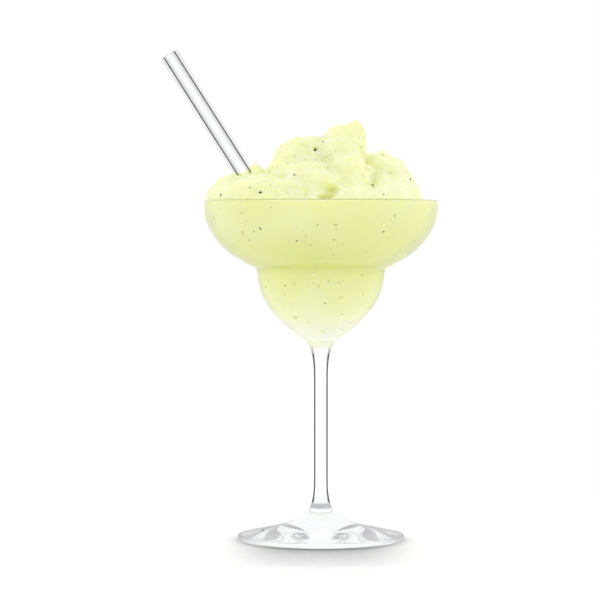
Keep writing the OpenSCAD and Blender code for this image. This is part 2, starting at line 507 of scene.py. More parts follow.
def object_height(nodes: Nodes) -> Socket:
    """Height above the table of the point being shaded, in metres."""
    place = nodes.add("ShaderNodeTexCoord").outputs["Object"]
    return nodes.add("ShaderNodeSeparateXYZ", {"Vector": place}).outputs["Z"]


def new_material(name: str) -> tuple[bpy.types.Material, Nodes, bpy.types.Node]:
    """Starts a material with one Principled shader.

    Args:
        name: the material's name.

    Returns:
        The material, a Nodes helper for it and its shader.
    """
    material = bpy.data.materials.new(name)
    material.use_nodes = True
    nodes = Nodes(material.node_tree)
    return material, nodes, material.node_tree.nodes["Principled BSDF"]


# ---------------------------------------------------------------- finishes


@dataclass(frozen=True)
class ClearGlass:
    """Polished clear glass: its dark outlines are painted shade, drawn by how far its surface is turned
    away.

    A band below the table is one that the piece doesn't use. Places along an outline run from 0, where the
    surface is seen face on, to 1, where it is seen edge on.
    """

    name: str
    ior: float = 1.5
    face: Colour = (0.995, 1.0, 1.0, 1.0)
    # Painted shade: the glass turns this dark olive grey where the camera sees its surface nearly edge on.
    edge: Colour = (0.62, 0.65, 0.50, 1.0)
    edge_shade_start: float = 0.58
    edge_shade_full: float = 0.86
    edge_shade_band: tuple[float, float] = (13.0 * MM, 22.0 * MM)
    # Painted shade: the foot's rim goes near black where the camera sees it edge on.
    rim_painted_shade: Colour = (0.10, 0.11, 0.12, 1.0)
    rim_shade_turn: tuple[float, float] = (0.80, 0.92)
    # Painted shade: a grey ramp over how far the surface is turned away, drawing thin dark lines down the
    # stem.
    painted_edge_lines: Steps = ((0.0, 1.0), (0.30, 1.0), (0.42, 0.0), (1.0, 0.0))
    painted_line_band: tuple[float, float, float, float] = (15.5 * MM, 18.5 * MM, 92.0 * MM, 98.0 * MM)
    foot_tint: Colour = (0.95, 0.98, 1.0, 1.0)
    foot_band: tuple[float, float] = (15.0 * MM, 12.0 * MM)
    # Painted shade: a dark band where the stem meets the foot, seen by the camera only.
    join_painted_shade: Colour = (0.28, 0.31, 0.33, 1.0)
    join_shade_band: tuple[float, float, float, float] = (15.0 * MM, 16.0 * MM, 17.6 * MM, 18.6 * MM)
    shade: Colour = (0.98, 0.985, 0.985, 1.0)
    rest_shade: Colour = (0.46, 0.47, 0.48, 1.0)
    rest_band: tuple[float, float, float, float] = (0.1 * MM, 0.3 * MM, 2.4 * MM, 2.8 * MM)
    # Painted shade: a dark olive line along the lip, standing in for what the rim's edge shows by
    # refraction.
    lip: Colour = (0.45, 0.44, 0.24, 1.0)
    lip_shade_band: tuple[float, float] = (10.0, 11.0)
    smears: Mottle = Mottle(22.0, 2.0, 1.5)
    most_rough: float = 0.012

    def tint(self, nodes: Nodes, height: Socket, to_eye: Socket) -> Socket:
        """The colour of the glass, with painted shade for its outlines, lines, foot rim, join and lip.

        Args:
            nodes: the material's nodes.
            height: height above the table.
            to_eye: 1 where the camera sees the surface itself, 0 where a bounce does.

        Returns:
            The colour.
        """
        # Painted shade: the outlines darken the glass by how far it is turned from the camera.
        turned_away = nodes.add("ShaderNodeLayerWeight", {"Blend": 0.5}).outputs["Facing"]
        seen_turned = nodes.math("MULTIPLY", turned_away, to_eye)
        edge = nodes.math("MULTIPLY", seen_turned, nodes.between(height, self.edge_shade_band))
        stops = [(0.0, self.face), (self.edge_shade_start, self.face), (self.edge_shade_full, self.edge)]
        tint = nodes.ramp(edge, stops)
        # Painted shade: the stem's dark side lines, seen by the camera only.
        drawn = nodes.math("MULTIPLY", nodes.band(height, self.painted_line_band), to_eye)
        tint = nodes.mix(drawn, tint, nodes.ramp(turned_away, grey_stops(self.painted_edge_lines)))
        in_foot = nodes.between(height, self.foot_band)
        tint = nodes.mix(in_foot, tint, self.foot_tint)
        # Painted shade: a dark outline round the foot's rim.
        rim = nodes.math("MULTIPLY", nodes.between(seen_turned, self.rim_shade_turn), in_foot)
        tint = nodes.mix(rim, tint, self.rim_painted_shade)
        # Painted shade: the dark band at the stem's base.
        join = nodes.math("MULTIPLY", nodes.band(height, self.join_shade_band), to_eye)
        tint = nodes.mix(join, tint, self.join_painted_shade)
        # Painted shade: the dark line along the lip.
        return nodes.mix(nodes.between(height, self.lip_shade_band), tint, self.lip)

    def material(self) -> bpy.types.Material:
        """Builds the shader: glass to the eye, and clear to the light that falls on what is inside.

        Returns:
            The material.
        """
        material, nodes, shader = new_material(self.name)
        rays = nodes.add("ShaderNodeLightPath").outputs
        height = object_height(nodes)
        smears = self.smears.place(nodes).outputs["Mask"]
        nodes.feed(shader, {
            "Base Color": self.tint(nodes, height, rays["Is Camera Ray"]),
            "Roughness": nodes.math("MULTIPLY", smears, self.most_rough),
            "Transmission Weight": 1.0,
            "IOR": self.ior,
        })
        blocked = nodes.mix(nodes.band(height, self.rest_band), self.shade, self.rest_shade)
        clear = nodes.add("ShaderNodeBsdfTransparent", {"Color": blocked})
        lamp = nodes.math("MAXIMUM", rays["Is Shadow Ray"], rays["Is Diffuse Ray"])
        both = nodes.add("ShaderNodeMixShader", {0: lamp, 1: shader.outputs[0], 2: clear.outputs[0]})
        nodes.feed(material.node_tree.nodes["Material Output"], {"Surface": both.outputs[0]})
        return material


@dataclass(frozen=True)
class Slush:
    """Wet crushed ice, lit from inside, with painted light and shade: pale where heaped, yellower against
    the glass.
    """

    name: str = "slush"
    loose_pale: Colour = (0.905, 0.930, 0.61, 1.0)
    loose_deep: Colour = (0.885, 0.910, 0.50, 1.0)
    # Painted light on the crests and painted shade in the valleys, set by how sharply the skin bends.
    crest_painted_light: Colour = (0.915, 0.932, 0.66, 1.0)
    valley_painted_shade: Colour = (0.885, 0.902, 0.40, 1.0)
    crest_light_bend: tuple[float, float] = (0.505, 0.56)
    valley_shade_bend: tuple[float, float] = (0.495, 0.44)
    packed_pale: Colour = (0.862, 0.884, 0.485, 1.0)
    packed_deep: Colour = (0.842, 0.864, 0.375, 1.0)
    patches: Mottle = Mottle(42.0, 4.0, 2.6)
    # Painted shade: a darker, yellower band round the step where the upper bowl overhangs the cup.
    step_painted_shade: Colour = (0.83, 0.86, 0.25, 1.0)
    step_shade_strength: float = 0.8
    step_shade_band: tuple[float, float, float, float] = (0.1280, 0.1370, 0.1370, 0.1540)
    # Painted light: a paler colour and a faint glow low in the cup, rising towards its bottom.
    tip_painted_light: Colour = (0.98, 0.985, 0.78, 1.0)
    tip_painted_glow: Colour = (0.15, 0.15, 0.12, 1.0)
    tip_light_band: tuple[float, float] = (0.1300, 0.1030)
    tip_light_curve: float = 2.0
    rim_band: tuple[float, float] = (0.1675, 0.1700)
    glow_radius: tuple[float, float, float] = (6.0, 6.0, 2.5)
    grain: Grain = Grain(1100.0, 0.35, 0.4 * MM)
    bump_packed: float = 0.05
    bump_more_loose: float = 0.35
    rough_from: float = 0.3
    rough_to: float = 0.55
    ior: float = 1.33

    def heaped(self, nodes: Nodes) -> Socket:
        """The colour above the rim: paler on the crests and deeper in the valleys, as painted light and
        painted shade.

        Args:
            nodes: the material's nodes.

        Returns:
            The colour.
        """
        loose = self.patches.place(nodes, self.loose_pale, self.loose_deep).outputs["Color"]
        bend = nodes.add("ShaderNodeNewGeometry").outputs["Pointiness"]
        # Painted light on sharp crests, painted shade in the hollows.
        crests = nodes.mix(nodes.between(bend, self.crest_light_bend), loose, self.crest_painted_light)
        return nodes.mix(nodes.between(bend, self.valley_shade_bend), crests, self.valley_painted_shade)

    def pressed(self, nodes: Nodes, height: Socket) -> Socket:
        """The colour against the glass, with painted shade deepest round the step.

        Args:
            nodes: the material's nodes.
            height: height above the table.

        Returns:
            The colour.
        """
        packed = self.patches.place(nodes, self.packed_pale, self.packed_deep).outputs["Color"]
        # Painted shade round the step.
        step = nodes.math("MULTIPLY", nodes.band(height, self.step_shade_band), self.step_shade_strength)
        return nodes.mix(step, packed, self.step_painted_shade)

    def material(self) -> bpy.types.Material:
        """Builds the shader.

        Returns:
            The material.
        """
        material, nodes, shader = new_material(self.name)
        height = object_height(nodes)
        above = nodes.between(height, self.rim_band)
        colour = nodes.mix(above, self.pressed(nodes, height), self.heaped(nodes))
        # Painted light low in the cup: paler colour and a faint emitted glow.
        tip_light = nodes.math("POWER", nodes.between(height, self.tip_light_band), self.tip_light_curve)
        loose_bump = nodes.math("MULTIPLY", above, self.bump_more_loose)
        normal, mask = self.grain.place(nodes, nodes.math("ADD", loose_bump, self.bump_packed))
        rough = nodes.add(
            "ShaderNodeMapRange", {"Value": mask, "To Min": self.rough_from, "To Max": self.rough_to}
        )
        nodes.feed(shader, {
            "Base Color": nodes.mix(tip_light, colour, self.tip_painted_light),
            "Emission Color": nodes.mix(tip_light, BLACK, self.tip_painted_glow),
            "Emission Strength": 1.0,
            "Roughness": rough.outputs["Result"],
            "Normal": normal,
            "Subsurface Weight": 1.0,
            "Subsurface Radius": self.glow_radius,
            "Subsurface Scale": MM,
            "IOR": self.ior,
        })
        return material


@dataclass(frozen=True)
class Speck:
    """A matt fleck in two mottled colours, such as lime zest."""

    name: str
    light: Colour
    dark: Colour
    roughness: float = 0.6
    shine: float = 0.08
    patches: Mottle = Mottle(700.0, 2.0, 3.0)
    grain: Grain = Grain(2500.0, 0.4, 0.1 * MM)
    bump: float = 0.5

    def material(self) -> bpy.types.Material:
        """Builds the shader.

        Returns:
            The material.
        """
        material, nodes, shader = new_material(self.name)
        nodes.feed(shader, {
            "Base Color": self.patches.place(nodes, self.light, self.dark).outputs["Color"],
            "Normal": self.grain.place(nodes, self.bump)[0],
            "Roughness": self.roughness,
            "Specular IOR Level": self.shine,
        })
        return material


# ---------------------------------------------------------------- the glass


@dataclass
class Goblet:
    """The stemmed glass, turned again finely from the outline of its solid."""

    around: int = 224
    # The glass's painted shade along the lip is kept to this thin band of heights.
    finish: ClearGlass = ClearGlass("stemware", lip_shade_band=(0.1679, 0.1682))
    outline: np.ndarray = field(default_factory=lambda: cad_outline("glass"))

    @property
    def rim_height(self) -> float:
        """Height of the lip."""
        return float(self.outline[:, 1].max())

    def hollow(self) -> np.ndarray:
        """The inside of the bowl, from its lowest point up to the lip."""
        top = int(self.outline[:, 1].argmax())
        return self.outline[top:][::-1].copy()

    def build(self) -> bpy.types.Object:
        """Builds, dresses and places the glass.

        Returns:
            The glass.
        """
        piece = turned("stem_glass", self.outline, self.around)
        piece.data.materials.append(self.finish.material())
        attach(piece, BODY)
        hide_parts("glass")
        log.info("stem_glass: %d faces, rim at %.1f mm", len(piece.data.polygons), self.rim_height / MM)
        return piece


# ---------------------------------------------------------------- the slush


@dataclass(frozen=True)
class Lobe:
    """One scoop of slush: an ellipsoid placed from the middle of the rim, in millimetres."""

    centre: tuple[float, float, float]
    half: tuple[float, float, float]

    def depth(self, points: np.ndarray) -> np.ndarray:
        """Signed depth of points, in millimetres: below zero inside."""
        scaled = (points - np.array(self.centre)) / np.array(self.half)
        return (np.linalg.norm(scaled, axis=1) - 1.0) * min(self.half)


def smooth_min(first: np.ndarray, second: np.ndarray, blend: float) -> np.ndarray:
    """The smaller of two depths, rounded over a width of blend where they meet."""
    overlap = np.maximum(blend - np.abs(first - second), 0.0)
    return np.minimum(first, second) - overlap**2 / (4.0 * blend)


@dataclass(frozen=True)
class Crust:
    """Sharp ridges of loose ice: where their noise is taken, their width, their height and their middle."""

    shift: float
    size: float
    height: float
    middle: float


@dataclass
class Heap:
    """The drink: slush that fills the bowl and stands over the rim in scoops. Bare lengths are in mm.

    Its eye is the point on the axis that the heap's skin is looked for from.
    """

    goblet: Goblet
    finish: Slush = Slush()
    around: int = 456
    heap_rings: int = 180
    fill_rings: int = 34
    into_wall: float = 0.25 * MM
    fill_drop: float = 0.6
    fill_swell: float = 0.35
    fill_lump: float = 6.0
    eye_drop: float = 18.5
    blend: float = 3.6
    carve_blend: float = 1.6
    edge_blend: float = 5.0
    edge_radius: float = 57.6
    outside: float = 1000.0
    farthest: float = 80.0
    most_steps: int = 70
    stride: float = 0.75
    near_enough: float = 0.03
    crust: tuple[Crust, ...] = (Crust(31.0, 11.0, 2.6, 0.35), Crust(17.0, 5.2, 1.1, 0.3))
    crumb_shift: float = 11.0
    crumb_size: float = 2.4
    crumb_height: float = 0.42
    lobes: tuple[Lobe, ...] = (
        # the broad base, and the low shoulder where the straw goes in
        Lobe((-4, 0, -10), (50, 52, 23)),
        Lobe((-41, -2, -3.5), (17.5, 31, 15)),
        Lobe((-37, -8, 2), (17, 22, 11.0)),
        # the knob beside the straw, and what it stands on
        Lobe((-31.8, -5, 12.4), (3.3, 4.2, 5.0)),
        Lobe((-27, -6, 4.5), (8, 9, 8.2)),
        # the left-hand scoop, then the tall one and its peak
        Lobe((-8, 3, 12.5), (15.5, 20, 19.3)),
        Lobe((-15, -4, 10), (10.5, 16, 17.5)),
        Lobe((8.6, 1, 20.5), (10.8, 17, 15.4)),
        Lobe((13.2, 0, 25), (8.0, 10, 12.0)),
        Lobe((17.5, -1, 31.6), (4.7, 6, 8.4)),
        # the slopes and lips in front
        Lobe((14.0, -14, 6.0), (11.5, 19, 17.0)),
        Lobe((18.5, -20, 1.0), (11.0, 19, 16.5)),
        Lobe((-8, -16, 6), (17, 17, 13.0)),
        Lobe((-2.5, -26, 9.0), (9, 12, 7.5)),
        Lobe((5.0, -29, 8.8), (4.6, 9, 3.6)),
        Lobe((-20, -26, 1), (20, 19, 12.0)),
        # the right-hand scoop
        Lobe((31, 2, 11), (8.5, 17, 13.4)),
        Lobe((36, 0, 5), (9.5, 19, 14.6)),
        Lobe((33, -3, -1), (16.0, 27, 14.8)),
        # the low front, then the back
        Lobe((-30, -33, -3), (22, 20, 12.5)),
        Lobe((20, -38, -6), (27, 17, 12.5)),
        Lobe((31, -26, -2), (13, 15, 12.0)),
        Lobe((-22, 30, 1), (25, 23, 15.5)),
        Lobe((-8, 20, 10), (14, 16, 12)),
        Lobe((16, 28, 3), (26, 23, 16)),
        Lobe((22, 14, 12), (12, 13, 11)),
    )
    hollows: tuple[Lobe, ...] = (
        Lobe((5.4, -43.5, 4.4), (3.6, 7.5, 2.1)),
        Lobe((3.0, -45, 1.4), (4.2, 6.0, 1.5)),
        Lobe((22.3, -30, 19), (2.0, 14, 4.5)),
        Lobe((26.2, -34, 12.5), (2.2, 14, 5.0)),
        Lobe((-4.5, -30, 27.5), (4.0, 12, 3.2)),
        Lobe((-22, -38, 12), (7.0, 9, 2.6)),
        Lobe((-40.0, -18, 14.6), (5.0, 14, 3.6)),
    )
    lumps: Lumps = field(default_factory=lambda: Lumps(11))

    def depth(self, points: np.ndarray) -> np.ndarray:
        """Signed depth of points in the smooth heap.

        Args:
            points: rows of x, y, z in millimetres from the middle of the rim.

        Returns:
            One depth in millimetres for each point, below zero inside.
        """
        best = np.full(len(points), self.outside)
        for lobe in self.lobes:
            best = smooth_min(best, lobe.depth(points), self.blend)
        for hollow in self.hollows:
            best = -smooth_min(-best, hollow.depth(points), self.carve_blend)
        edge = np.hypot(points[:, 0], points[:, 1]) - self.edge_radius
        return -smooth_min(-best, -edge, self.edge_blend)

    def crumble(self, points: np.ndarray) -> np.ndarray:
        """How far the loose ice stands out from the smooth heap.

        Args:
            points: rows of x, y, z in millimetres from the middle of the rim.

        Returns:
            One height in millimetres for each point.
        """
        total = self.crumb_height * self.lumps.layered(points + self.crumb_shift, self.crumb_size, 2)
        for ridge in self.crust:
            noise = self.lumps.at(points + ridge.shift, ridge.size)
            total += ridge.height * (ridge.middle - np.abs(noise))
        return total

    def skin(self, directions: np.ndarray) -> np.ndarray:
        """The outermost point of the heap along each direction from its eye, under the middle of the rim.

        Args:
            directions: rows of x, y, z of length 1.

        Returns:
            One point for each direction, in millimetres from the middle of the rim.
        """
        reach = np.full(len(directions), self.farthest)
        eye = np.array([0.0, 0.0, -self.eye_drop])
        moving = np.arange(len(directions))
        for _ in range(self.most_steps):
            depth = self.depth(directions[moving] * reach[moving, None] + eye)
            reach[moving] -= self.stride * depth
            moving = moving[(depth > self.near_enough) & (reach[moving] > self.eye_drop)]
            if not len(moving):
                break
        reach = np.maximum(reach, self.eye_drop)
        smooth = directions * reach[:, None] + eye
        return smooth + directions * self.crumble(smooth)[:, None]

    def over_fill(self, points: np.ndarray, mouth: float) -> np.ndarray:
        """Keeps the heap's points above the level fill and inside the mouth of the glass.

        Args:
            points: points in millimetres from the middle of the rim.
            mouth: the widest radius allowed at the rim, in millimetres.

        Returns:
            The moved points.
        """
        eye = -self.eye_drop
        level = -self.fill_drop + self.fill_swell * self.lumps.layered(points, self.fill_lump, 3)
        rise = np.maximum(points[:, 2] - eye, self.near_enough)
        lift = np.maximum((level - eye) / rise, 1.0)
        moved = np.stack([points[:, 0] * lift, points[:, 1] * lift, eye + rise * lift], axis=1)
        reach = np.hypot(moved[:, 0], moved[:, 1])
        shrink = np.minimum(1.0, mouth / np.maximum(reach, self.near_enough))
        moved[:, :2] *= shrink[:, None]
        return moved

    def fill_outline(self) -> np.ndarray:
        """Outline of the slush inside the glass, a little way into the wall.

        Returns:
            Rows of radius and height in metres, from the axis up to the level fill.
        """
        hollow = self.goblet.hollow()
        level = self.goblet.rim_height - self.fill_drop * MM
        hollow = hollow[hollow[:, 1] < level]
        along = np.gradient(hollow, axis=0)
        along /= np.linalg.norm(along, axis=1)[:, None]
        pushed = hollow + self.into_wall * np.stack([along[:, 1], -along[:, 0]], axis=1)
        pushed[0, 0] = 0.0
        length = np.concatenate([[0.0], np.cumsum(np.linalg.norm(np.diff(pushed, axis=0), axis=1))])
        even = np.linspace(0.0, length[-1], self.fill_rings)
        return np.stack([np.interp(even, length, side) for side in pushed.T], axis=1)

    def build(self) -> bpy.types.Object:
        """Builds, dresses and places the slush.

        Returns:
            The slush.
        """
        fill = self.fill_outline()
        mouth = fill[-1, 0] / MM
        widest = math.atan2(mouth, self.eye_drop - self.fill_drop)
        turn = np.linspace(0.0, 2.0 * math.pi, self.around, endpoint=False)
        down = widest * (1.0 - np.arange(1, self.heap_rings) / self.heap_rings)
        down, turn = (grid.reshape(-1) for grid in np.meshgrid(down, turn, indexing="ij"))
        across = np.sin(down)
        directions = np.stack([across * np.cos(turn), across * np.sin(turn), np.cos(down)], axis=1)
        top = np.array([[0.0, 0.0, 1.0]])
        heap = self.over_fill(self.skin(np.vstack([directions, top])), mouth)
        heap = heap * MM + np.array([0.0, 0.0, self.goblet.rim_height])
        points = np.vstack([[[0.0, 0.0, fill[0, 1]]], spun(fill[1:], self.around), heap])
        rings = len(fill) - 1 + self.heap_rings - 1
        faces = ring_faces(1, rings, self.around)
        last = len(points) - 1
        high = last - self.around
        for j in range(self.around):
            k = (j + 1) % self.around
            faces.append((0, 1 + k, 1 + j))
            faces.append((last, high + j, high + k))
        piece = mesh_object("slush", points, faces)
        piece.data.materials.append(self.finish.material())
        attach(piece, BODY)
        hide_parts("drink")
        log.info("slush: %d faces", len(piece.data.polygons))
        return piece


# ---------------------------------------------------------------- flecks and specks


class Kind(Enum):
    """The kinds of small bits in and on the drink."""

    DARK = "dark_zest"
    GREEN = "green_zest"
    FAINT = "faint_pulp"
    ICE = "ice_glints"


@dataclass(frozen=True)
class Fleck:
    """One bit that is seen from the front: its place there, and its size, in millimetres."""

    kind: Kind
    across: float
    up: float
    long: float
    wide: float
    turn: float = 0.0


@dataclass(frozen=True)
class Scatter:
    """How many more bits of one kind lie all round, and their sizes in millimetres."""

    kind: Kind
    count: int
    smallest: float
    largest: float


@dataclass
class Flecks:
    """Bits of lime zest and pulp and clear grains of ice that lie in the skin of the slush.

    The thickness of a bit is a share of its width, up to the thickest in millimetres, and what stands out
    is a share of half its thickness.
    """

    slush: bpy.types.Object
    seed: int = 5
    eye: Vector = field(default_factory=lambda: Vector((0.0, -1.26, 0.153)))
    out_from_axis: float = 0.12
    lowest: float = 0.105
    highest: float = 0.205
    heap_from: float = 0.165
    steepest_drop: float = 0.05
    narrowness: tuple[float, float] = (0.55, 0.9)
    stand_out: float = 0.35
    thickness: float = 0.42
    thickest: float = 0.30
    least_side: float = 0.01
    around: int = 8
    rings: int = 5
    roughness: float = 0.22
    placed: tuple[Fleck, ...] = (
        Fleck(Kind.DARK, -3.0, 193.4, 2.2, 1.6, 40),
        Fleck(Kind.DARK, -13.2, 181.0, 1.3, 0.9, 10),
        Fleck(Kind.DARK, -30.1, 172.4, 1.9, 1.0, 5),
        Fleck(Kind.DARK, -49.7, 171.0, 1.9, 0.9, 60),
        Fleck(Kind.DARK, 26.0, 175.0, 1.2, 0.9, 90),
        Fleck(Kind.GREEN, 25.6, 176.0, 1.9, 1.4, 20),
        Fleck(Kind.GREEN, 44.4, 179.0, 1.2, 0.8, 50),
        Fleck(Kind.DARK, -29.9, 154.8, 1.8, 0.7, 115),
        Fleck(Kind.DARK, -11.9, 148.6, 1.0, 0.8, 0),
        Fleck(Kind.DARK, 30.8, 153.1, 1.0, 0.8, 30),
        Fleck(Kind.DARK, 6.5, 149.2, 0.9, 0.7, 0),
        Fleck(Kind.DARK, -35.5, 149.1, 0.8, 0.6, 0),
        Fleck(Kind.DARK, -48.0, 144.7, 0.9, 0.7, 20),
        Fleck(Kind.DARK, 46.1, 148.7, 0.8, 0.6, 0),
        Fleck(Kind.GREEN, -38.3, 153.1, 0.8, 0.6, 0),
        Fleck(Kind.GREEN, -7.5, 151.1, 0.8, 0.6, 0),
        Fleck(Kind.DARK, -17.4, 126.2, 0.8, 0.7, 0),
        Fleck(Kind.DARK, 2.0, 117.6, 0.8, 0.6, 0),
        Fleck(Kind.DARK, 9.9, 105.7, 0.9, 0.6, 0),
        Fleck(Kind.GREEN, 34.8, 191.0, 0.9, 0.6, 0),
        Fleck(Kind.GREEN, 1.0, 197.6, 1.0, 0.7, 0),
        Fleck(Kind.GREEN, 30.8, 190.9, 0.9, 0.6, 0),
        Fleck(Kind.GREEN, -35.3, 174.7, 1.0, 0.6, 0),
        Fleck(Kind.GREEN, 20.1, 131.1, 0.8, 0.6, 0),
        Fleck(Kind.ICE, -21.4, 114.1, 1.3, 1.0, 0),
        Fleck(Kind.ICE, -3.2, 107.2, 1.0, 0.8, 0),
    )
    scattered: tuple[Scatter, ...] = (
        Scatter(Kind.DARK, 16, 0.35, 0.7),
        Scatter(Kind.GREEN, 52, 0.4, 0.8),
        Scatter(Kind.FAINT, 170, 0.5, 1.5),
        Scatter(Kind.ICE, 60, 0.5, 1.1),
    )
    finishes: dict[Kind, Speck] = field(
        default_factory=lambda: {
            Kind.DARK: Speck("dark_zest", (0.15, 0.18, 0.001, 1.0), (0.03, 0.04, 0.001, 1.0)),
            Kind.GREEN: Speck("green_zest", (0.33, 0.38, 0.03, 1.0), (0.17, 0.21, 0.02, 1.0)),
            Kind.FAINT: Speck("faint_pulp", (0.72, 0.76, 0.22, 1.0), (0.60, 0.65, 0.16, 1.0)),
            Kind.ICE: Speck("ice_glints", (1.0, 1.0, 0.96, 1.0), (0.97, 0.98, 0.90, 1.0), 0.12, 0.5),
        }
    )

    def blob(self, chance: np.random.Generator) -> np.ndarray:
        """One uneven blob of unit size.

        Args:
            chance: what draws its unevenness.

        Returns:
            Its points, pole first and pole last.
        """
        steps = np.linspace(0.0, math.pi, self.rings + 2)[1:-1]
        outline = np.stack([np.sin(steps), np.cos(steps)], axis=1)
        points = np.vstack([[0.0, 0.0, 1.0], spun(outline, self.around), [0.0, 0.0, -1.0]])
        return points * chance.uniform(1.0 - self.roughness, 1.0 + self.roughness, (len(points), 1))

    def blob_faces(self, start: int) -> list[tuple[int, ...]]:
        """The faces of one blob.

        Args:
            start: index of the blob's first point.

        Returns:
            The faces, by the indices of their corners.
        """
        last = start + 1 + self.rings * self.around
        low = last - self.around
        faces = [face[::-1] for face in ring_faces(start + 1, self.rings, self.around)]
        for j in range(self.around):
            k = (j + 1) % self.around
            faces.append((start, start + 1 + j, start + 1 + k))
            faces.append((last, low + k, low + j))
        return faces

    def lay(
        self, blob: np.ndarray, spot: tuple[Vector, Vector], long: float, wide: float, turn: float
    ) -> np.ndarray:
        """Lays a blob flat on the skin.

        Args:
            blob: points of unit size.
            spot: where it lies, in metres, and the way the skin faces there.
            long: its length, in millimetres.
            wide: its width, in millimetres.
            turn: its turn about the normal, in degrees.

        Returns:
            The points, in metres.
        """
        place, normal = spot
        thick = min(self.thickness * wide, self.thickest)
        side = Vector((0.0, 0.0, 1.0)).cross(normal)
        side = side.normalized() if side.length > self.least_side else Vector((1.0, 0.0, 0.0))
        up = normal.cross(side)
        angle = math.radians(turn)
        first = side * math.cos(angle) + up * math.sin(angle)
        second = normal.cross(first)
        axes = np.array([first * long, second * wide, normal * thick]) * (MM / 2.0)
        return blob @ axes + np.array(place + normal * (self.stand_out * thick * MM / 2.0))

    def seen(self, fleck: Fleck) -> tuple[Vector, Vector] | None:
        """The skin behind a place seen from the front.

        Args:
            fleck: the bit that is seen there.

        Returns:
            Where the skin is and the way it faces, or None beside the slush.
        """
        aim = Vector((fleck.across * MM, 0.0, fleck.up * MM))
        hit, place, normal, _ = self.slush.ray_cast(self.eye, (aim - self.eye).normalized())
        return (place, normal) if hit else None

    def somewhere(self, chance: np.random.Generator) -> tuple[Vector, Vector] | None:
        """A random place on the skin, where a line from outside meets it, sloping down to the heap.

        Args:
            chance: what draws the place.

        Returns:
            Where the skin is and the way it faces, or None where the line misses.
        """
        turn = chance.uniform(0.0, 2.0 * math.pi)
        height = chance.uniform(self.lowest, self.highest)
        drop = chance.uniform(0.0, self.steepest_drop) if height > self.heap_from else 0.0
        way = Vector((math.cos(turn), math.sin(turn), drop / self.out_from_axis))
        outside = way * self.out_from_axis + Vector((0.0, 0.0, height))
        hit, place, normal, _ = self.slush.ray_cast(outside, -way.normalized())
        return (place, normal) if hit else None

    def build(self) -> list[bpy.types.Object]:
        """Builds, dresses and places one piece for each kind of bit.

        Returns:
            The pieces.
        """
        chance = np.random.default_rng(self.seed)
        laid: dict[Kind, list[np.ndarray]] = {kind: [] for kind in Kind}
        for fleck in self.placed:
            spot = self.seen(fleck)
            if spot:
                blob = self.lay(self.blob(chance), spot, fleck.long, fleck.wide, fleck.turn)
                laid[fleck.kind].append(blob)
        for scatter in self.scattered:
            for _ in range(scatter.count):
                spot = self.somewhere(chance)
                long = chance.uniform(scatter.smallest, scatter.largest)
                wide = long * chance.uniform(*self.narrowness)
                if spot:
                    blob = self.blob(chance)
                    laid[scatter.kind].append(self.lay(blob, spot, long, wide, chance.uniform(0, 180)))
        return [self.piece(kind, blobs) for kind, blobs in laid.items()]

    def piece(self, kind: Kind, blobs: list[np.ndarray]) -> bpy.types.Object:
        """Joins all the bits of one kind in one piece.

        Args:
            kind: the kind of bit.
            blobs: the points of each bit, in metres.

        Returns:
            The piece.
        """
        faces = []
        for i, blob in enumerate(blobs):
            faces += self.blob_faces(i * len(blob))
        piece = mesh_object(kind.value, np.vstack(blobs), faces)
        piece.data.materials.append(self.finishes[kind].material())
        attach(piece, BODY)
        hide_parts("drink")
        log.info("%s: %d bits", kind.value, len(blobs))
        return piece


@dataclass
class FootSpeck:
    """A crumb of brown peel that lies on the foot of the glass, at the front left."""

    glass: bpy.types.Object
    across: float = -28.4
    front: float = -8.0
    above: float = 0.05
    long: float = 1.3
    wide: float = 0.8
    turn: float = 20.0
    thickness: float = 0.7
    stand_out: float = 1.0
    seed: int = 9
    finish: Speck = Speck("peel_crumb", (0.36, 0.20, 0.05, 1.0), (0.16, 0.08, 0.02, 1.0))

    def build(self) -> bpy.types.Object:
        """Builds, dresses and places the crumb.

        Returns:
            The crumb.
        """
        maker = Flecks(self.glass, thickness=self.thickness, stand_out=self.stand_out)
        over = Vector((self.across * MM, self.front * MM, self.above))
        _, place, normal, _ = self.glass.ray_cast(over, Vector((0.0, 0.0, -1.0)))
        blob = maker.blob(np.random.default_rng(self.seed))
        points = maker.lay(blob, (place, normal), self.long, self.wide, self.turn)
        piece = mesh_object("peel_crumb", points, maker.blob_faces(0))
        piece.data.materials.append(self.finish.material())
        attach(piece, BODY)
        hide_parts("glass")
        log.info("peel_crumb: on the foot at %.1f mm", place.z / MM)
        return piece


# ---------------------------------------------------------------- the straw


